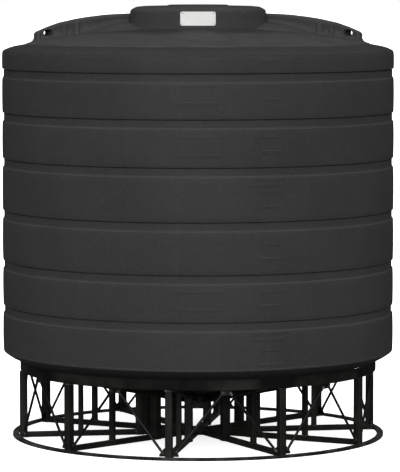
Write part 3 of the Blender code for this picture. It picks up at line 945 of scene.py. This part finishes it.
def build_ridges():
    """Both lifting ridges with their eyes; the left one is the right one's mirror image."""
    right = applied("lifting_ridge", [ridge_mesh(), eye_cutter()], "DIFFERENCE")
    left = right.copy()
    left.transform(Matrix.Scale(-1, 4, (1, 0, 0)))
    left.flip_normals()
    for side, mesh in (("right", right), ("left", left)):
        piece(f"ridge_{side}", mesh, RIDGE_PLASTIC, [f"lifting_ridge_{side}"], smooth_deg=50.0)


def plate_radius(z, out):
    """Distance from the axis to a point in front of the crown's face."""
    return COLLAR_RADIUS - 0.002 - (z - COLLAR_TOP) * PLATE_WALL_SLOPE + out


def build_plate():
    """Blank white plate with round corners and four rivets."""
    half_width = PLATE_WIDTH / 2
    half_height = (PLATE_TOP - PLATE_BOTTOM) / 2
    middle = (PLATE_TOP + PLATE_BOTTOM) / 2
    front = PLATE_GAP + PLATE_THICKNESS
    rows = []
    for i in range(PLATE_COLUMNS + 1):
        u = -half_width + PLATE_WIDTH * i / PLATE_COLUMNS
        into_corner = max(0.0, PLATE_CORNER - (half_width - abs(u)))
        cut = PLATE_CORNER - sqrt(max(0.0, PLATE_CORNER**2 - into_corner**2))
        heights = [middle + (half_height - cut) * (j / 4 - 1) for j in range(9)]
        row = []
        for out, z in [(PLATE_GAP, z) for z in heights] + [(front, z) for z in heights[::-1]]:
            r = plate_radius(z, out)
            row.append(around(r, u / r - pi / 2, z))
        rows.append(row)
    shape = bmesh.new()
    bridge(shape, rows)
    piece("blank_plate", shape, PLATE, ["front_plate"])
    shape = bmesh.new()
    for u, v in ((-1, -1), (-1, 1), (1, -1), (1, 1)):
        z = middle + v * (half_height - RIVET_INSET)
        angle = u * (half_width - RIVET_INSET) / COLLAR_RADIUS - pi / 2
        tilt = around(1.0, angle, 0.0).to_track_quat("Z", "Y").to_matrix().to_4x4()
        place = Matrix.Translation(around(plate_radius(z, front), angle, z)) @ tilt
        turns = [2 * pi * k / RIVET_SIDES for k in range(RIVET_SIDES)]
        bridge(shape, [[place @ around(r, turn, rise) for turn in turns] for rise, r in RIVET_PROFILE])
    piece("plate_rivets", shape, ZINC)


def seat_height(radius):
    """Height of the steel that the cone rests on, a hair below the cone."""
    return cone_height(radius) - SEAT_GAP


def eased_ring(inner, outer, low, high, ease, top_ease):
    """Section of a flat ring with eased edges."""
    return [
        (outer - ease, low), (inner + ease, low), (inner, low + ease), (inner, high - top_ease),
        (inner + top_ease, high), (outer - top_ease, high), (outer, high - top_ease), (outer, low + ease),
    ]


def build_rings():
    """Ring on the ground and the angle ring under the tank, finely turned with eased edges."""
    inner = BASE_RING_RADIUS - BASE_RING_WIDTH
    flat = eased_ring(inner, BASE_RING_RADIUS, 0.0, BASE_RING_HEIGHT, 0.003, 0.003)
    piece("ground_ring", turned(flat, RING_STEPS), GROUND_STEEL, ["base_ring"])
    web = TOP_RING_RADIUS - TOP_RING_PLATE
    foot = TOP_RING_RADIUS - TOP_RING_FOOT
    top = seat_height(web)
    angle = [
        (TOP_RING_RADIUS, top, 0.002), (TOP_RING_RADIUS, LEG_TOP, 0.008), (foot, LEG_TOP, 0.003),
        (foot, LEG_TOP + TOP_RING_PLATE, 0.003), (web, LEG_TOP + TOP_RING_PLATE, 0.006), (web, top, 0.002),
    ]
    outline = rounded([angle[-1]] + angle + [angle[0]], 3)[1:-1]
    piece("support_ring", turned(outline, RING_STEPS), RING_STEEL, ["top_ring"])


def build_hubs():
    """Ten-sided hubs with eased edges."""
    turn = FIRST_FRAME_DEG + BAY_DEG / 2
    disc = [
        (0.0, BEAM_HEIGHT), (BASE_HUB_RADIUS - 0.003, BEAM_HEIGHT), (BASE_HUB_RADIUS, BEAM_HEIGHT - 0.003),
        (BASE_HUB_RADIUS, 0.003), (BASE_HUB_RADIUS - 0.003, 0.0), (0.0, 0.0),
    ]
    piece("ground_hub", turned(disc, FRAMES), STEEL, ["base_hub"], turn, HUB_EDGE_DEG)
    top = seat_height(CONE_HUB_BORE * cos(pi / FRAMES))
    bottom = cone_height(CONE_HUB_RADIUS) - RAFTER_DEPTH
    ring = eased_ring(CONE_HUB_BORE, CONE_HUB_RADIUS, bottom, top, 0.003, 0.002)
    piece("rafter_hub", turned(ring, FRAMES), STEEL, ["cone_hub"], turn, HUB_EDGE_DEG)


def rafter_middle(radius):
    """Height of the rafter's centre line."""
    return seat_height(radius) - RAFTER_DEPTH / 2


def frame_mesh():
    """One radial frame along +X: base beam, mid leg, inner leg and rafter, joined into one body."""
    centre = BEAM_HEIGHT / 2
    hub_face = BASE_HUB_RADIUS * cos(pi / FRAMES)
    cone_face = CONE_HUB_RADIUS * cos(pi / FRAMES)
    rafter_end = TOP_RING_RADIUS - TOP_RING_FOOT - 0.001
    mid, inner = MID_LEG_RADIUS, INNER_LEG_RADIUS
    bars = (
        (hub_face, centre, LEG_RADIUS - OUTER_LEG / 2, centre, FRAME_WIDTH, BEAM_HEIGHT, 0.005),
        (mid, centre, mid, rafter_middle(mid), MID_LEG, MID_LEG - 0.001, 0.006),
        (inner, 0.0, inner, rafter_middle(inner), INNER_LEG, INNER_LEG, 0.007),
        (cone_face, rafter_middle(cone_face), rafter_end, rafter_middle(rafter_end),
         FRAME_WIDTH - 0.001, RAFTER_DEPTH * 0.97, 0.005),
    )
    parts = []
    for x0, z0, x1, z1, width, depth, corner in bars:
        shape = bmesh.new()
        add_bar(shape, (x0, 0, z0), (x1, 0, z1), width, depth, corner, (1, 0, 0) if x0 == x1 else (0, 0, 1))
        parts.append(mesh_from("bar", shape))
    return applied("radial_frame", parts, "UNION")


def add_bead(shape, corners, size, seed):
    """A weld bead round a closed loop of corners. Its radius ripples."""
    points = []
    for first, second in zip(corners, corners[1:] + corners[:1]):
        first, second = Vector(first), Vector(second)
        steps = max(2, round((second - first).length / BEAD_SPACING))
        points += [first.lerp(second, k / steps) for k in range(steps)]
    radii = []
    for k, point in enumerate(points):
        lump = noise.noise(point * 90.0 + Vector((seed * 3.7, 0, 0)))
        radii.append(size * (0.78 + 0.22 * (k % 2) + 0.35 * lump))
    add_tube(shape, points, radii, 6, True)


def square_loop(x, z, half_x, half_y, tilt=0.0):
    """Corners round a square bar that stands at a place. tilt is the rise for each metre outward."""
    sides = ((1, 1), (-1, 1), (-1, -1), (1, -1))
    return [(x + sx * half_x, sy * half_y, z + sx * half_x * tilt) for sx, sy in sides]


def weld_mesh(seed):
    """All beads of one radial frame and its outer leg, along +X."""
    shape = bmesh.new()
    half = OUTER_LEG / 2
    add_bead(shape, square_loop(LEG_RADIUS, LEG_TOP - 0.001, half - 0.001, half - 0.001), 0.0045, seed)
    add_bead(shape, square_loop(LEG_RADIUS, WELD_FOOT, half - 0.001, half), 0.0045, seed + 1)
    half = MID_LEG / 2
    add_bead(shape, square_loop(MID_LEG_RADIUS, BEAM_HEIGHT, half, half), 0.004, seed + 2)
    top = seat_height(MID_LEG_RADIUS) - RAFTER_DEPTH * 0.985
    add_bead(shape, square_loop(MID_LEG_RADIUS, top, half, half, CONE_SLOPE), 0.004, seed + 3)
    half = FRAME_WIDTH / 2
    for face in (-1, 1):
        x = INNER_LEG_RADIUS + face * INNER_LEG / 2
        loop = [(x, half, WELD_FOOT), (x, half, BEAM_HEIGHT), (x, -half, BEAM_HEIGHT), (x, -half, WELD_FOOT)]
        add_bead(shape, loop, 0.0038, seed + 4 + face)
    return mesh_from("frame_welds", shape)


def rod_ends(side):
    """The head and the foot of one rod of a brace, and the turn from the brace to the leg that it reaches."""
    turn = Matrix.Rotation(radians(side * BAY_DEG / 2), 3, "Z")
    foot = Vector((LEG_RADIUS, -side * (OUTER_LEG / 2 + GUSSET_REACH / 2), ROD_FOOT_HEIGHT))
    foot.rotate(turn)
    head = Vector((BRACE_RADIUS, side * ROD_SPREAD, LEG_TOP - HEAD_PLATE_HEIGHT / 2))
    return head, foot, turn


def brace_mesh():
    """Two rods from the plate under the top ring to a gusset at the foot of each leg."""
    shape = bmesh.new()
    top_edge = (BRACE_RADIUS, 0, LEG_TOP)
    low_edge = (BRACE_RADIUS, 0, LEG_TOP - HEAD_PLATE_HEIGHT)
    add_bar(shape, top_edge, low_edge, HEAD_PLATE_WIDTH, HEAD_PLATE_THICKNESS, 0.002, (1, 0, 0), 2)
    for side in (1, -1):
        head, foot, turn = rod_ends(side)
        path = [head.lerp(foot, k / ROD_STEPS) for k in range(ROD_STEPS + 1)]
        add_tube(shape, path, [ROD_RADIUS] * len(path), 12)
        near = -side * OUTER_LEG / 2
        far = -side * (OUTER_LEG / 2 + GUSSET_REACH)
        outline = [(near, BASE_RING_HEIGHT), (near, GUSSET_TOP), (near - side * 0.012, GUSSET_TOP)]
        outline += [(far, GUSSET_TOE), (far, BASE_RING_HEIGHT)]
        rows = []
        for x in (LEG_RADIUS - GUSSET_THICKNESS / 2, LEG_RADIUS + GUSSET_THICKNESS / 2):
            rows.append([Vector((x, y, z)) for y, z in outline])
            for spot in rows[-1]:
                spot.rotate(turn)
        bridge(shape, rows)
    return mesh_from("brace_rods", shape)


def brace_weld_mesh(seed):
    """Short beads where the rods meet the head plate and the gussets."""
    shape = bmesh.new()
    for side in (1, -1):
        head, foot, _ = rod_ends(side)
        along = (foot - head).normalized()
        for middle in (head + along * 0.012, foot - along * 0.004):
            path = [middle + along * (k - 3) * 0.006 + Vector((0.006, 0, 0)) for k in range(7)]
            radii = []
            for k, point in enumerate(path):
                lump = noise.noise(point * 80 + Vector((seed, 0, 0)))
                radii.append(0.0105 * (0.75 + 0.35 * sin(pi * k / 6)) + 0.002 * lump)
            add_tube(shape, path, radii, 8)
    return mesh_from("brace_welds", shape)


def build_stand():
    """Legs, radial frames, braces and their welds, ten of each round the tank."""
    shape = bmesh.new()
    top = (LEG_RADIUS, 0, LEG_TOP)
    add_bar(shape, (LEG_RADIUS, 0, 0.0), top, OUTER_LEG, OUTER_LEG + 0.004, 0.007, (1, 0, 0), 4)
    leg = mesh_from("square_leg", shape)
    frame_body = frame_mesh()
    rods = brace_mesh()
    for number in range(FRAMES):
        label = f"{number + 1:02d}"
        turn = FIRST_FRAME_DEG + BAY_DEG * number
        piece(f"square_leg_{label}", leg, STEEL, [f"outer_leg_{label}"], turn)
        piece(f"frame_body_{label}", frame_body, STEEL, [f"radial_frame_{label}"], turn)
        piece(f"frame_welds_{label}", weld_mesh(number * 11), WELD, (), turn)
        turn += BAY_DEG / 2
        piece(f"brace_rods_{label}", rods, ROD_STEEL, [f"brace_pair_{label}"], turn)
        piece(f"brace_welds_{label}", brace_weld_mesh(number * 7), WELD, (), turn)


def build_floor():
    """Plain pale floor."""
    shape = bmesh.new()
    bmesh.ops.create_circle(shape, cap_ends=True, segments=64, radius=FLOOR_RADIUS)
    mesh = mesh_from("studio_floor", shape)
    made, tree, shader = new_material("pale_floor", {
        "Specular IOR Level": 0.1, "Roughness": 0.9,
        "Emission Color": (1.0, 1.0, 1.0, 1.0), "Emission Strength": FLOOR_GLOW,
    })
    cloud = use_group(tree, CLOUD, patches(0.8, 0.3, 0.7))
    tree.links.new(tint(tree, (0.9, 0.9, 0.895), (0.87, 0.87, 0.865), cloud), shader.inputs["Base Color"])
    mesh.materials.append(made)
    floor = linked("studio_floor", mesh)
    floor.visible_glossy = False
    floor.visible_diffuse = False


def build_studio():
    """White surround, one soft light from above and one from the front."""
    scene = bpy.context.scene
    scene.view_settings.view_transform = "Standard"
    scene.world = bpy.data.worlds.new("studio_world")
    scene.world.use_nodes = True
    tree = scene.world.node_tree
    path = add_node(tree, "LightPath", {}).outputs
    place = add_node(tree, "TexCoord", {}).outputs["Generated"]
    dome = add_range(tree, add_upward(tree, place), -HORIZON_BLUR, HORIZON_BLUR, FILL_BELOW, FILL_ABOVE)
    soft = add_math(tree, "MULTIPLY", path["Is Diffuse Ray"], dome)
    mirrored = add_math(tree, "MULTIPLY", path["Is Glossy Ray"], MIRRORED_LIGHT)
    strength = add_math(tree, "ADD", add_math(tree, "ADD", soft, mirrored), path["Is Camera Ray"])
    sky = tree.nodes["Background"]
    sky.inputs["Color"].default_value = (1.0, 1.0, 1.0, 1.0)
    tree.links.new(strength, sky.inputs["Strength"])
    for name, energy, angle_deg, tilt_deg, turn_deg in SUNS:
        data = bpy.data.lights.new(name, "SUN")
        data.energy = energy
        data.angle = radians(angle_deg)
        linked(name, data).rotation_euler = (radians(tilt_deg), 0.0, radians(turn_deg))


def build_camera():
    """The photograph's viewing angle: far off, a little above the roof, tilted down."""
    data = bpy.data.cameras.new("photo_camera")
    data.lens = CAMERA_LENS
    data.sensor_width = SENSOR_WIDTH
    data.clip_start = 0.5
    data.clip_end = 1500.0
    camera = linked("photo_camera", data)
    camera.location = (CAMERA_SIDE, -CAMERA_DISTANCE, CAMERA_HEIGHT)
    camera.rotation_euler = (radians(90.0 - CAMERA_DOWN_DEG), 0.0, 0.0)
    bpy.context.scene.camera = camera


build_camera()
build_studio()
build_floor()
build_wall()
build_roof()
build_crown()
build_lid()
build_cone()
build_outlet()
build_mould_marks()
build_ridges()
build_plate()
build_rings()
build_hubs()
build_stand()
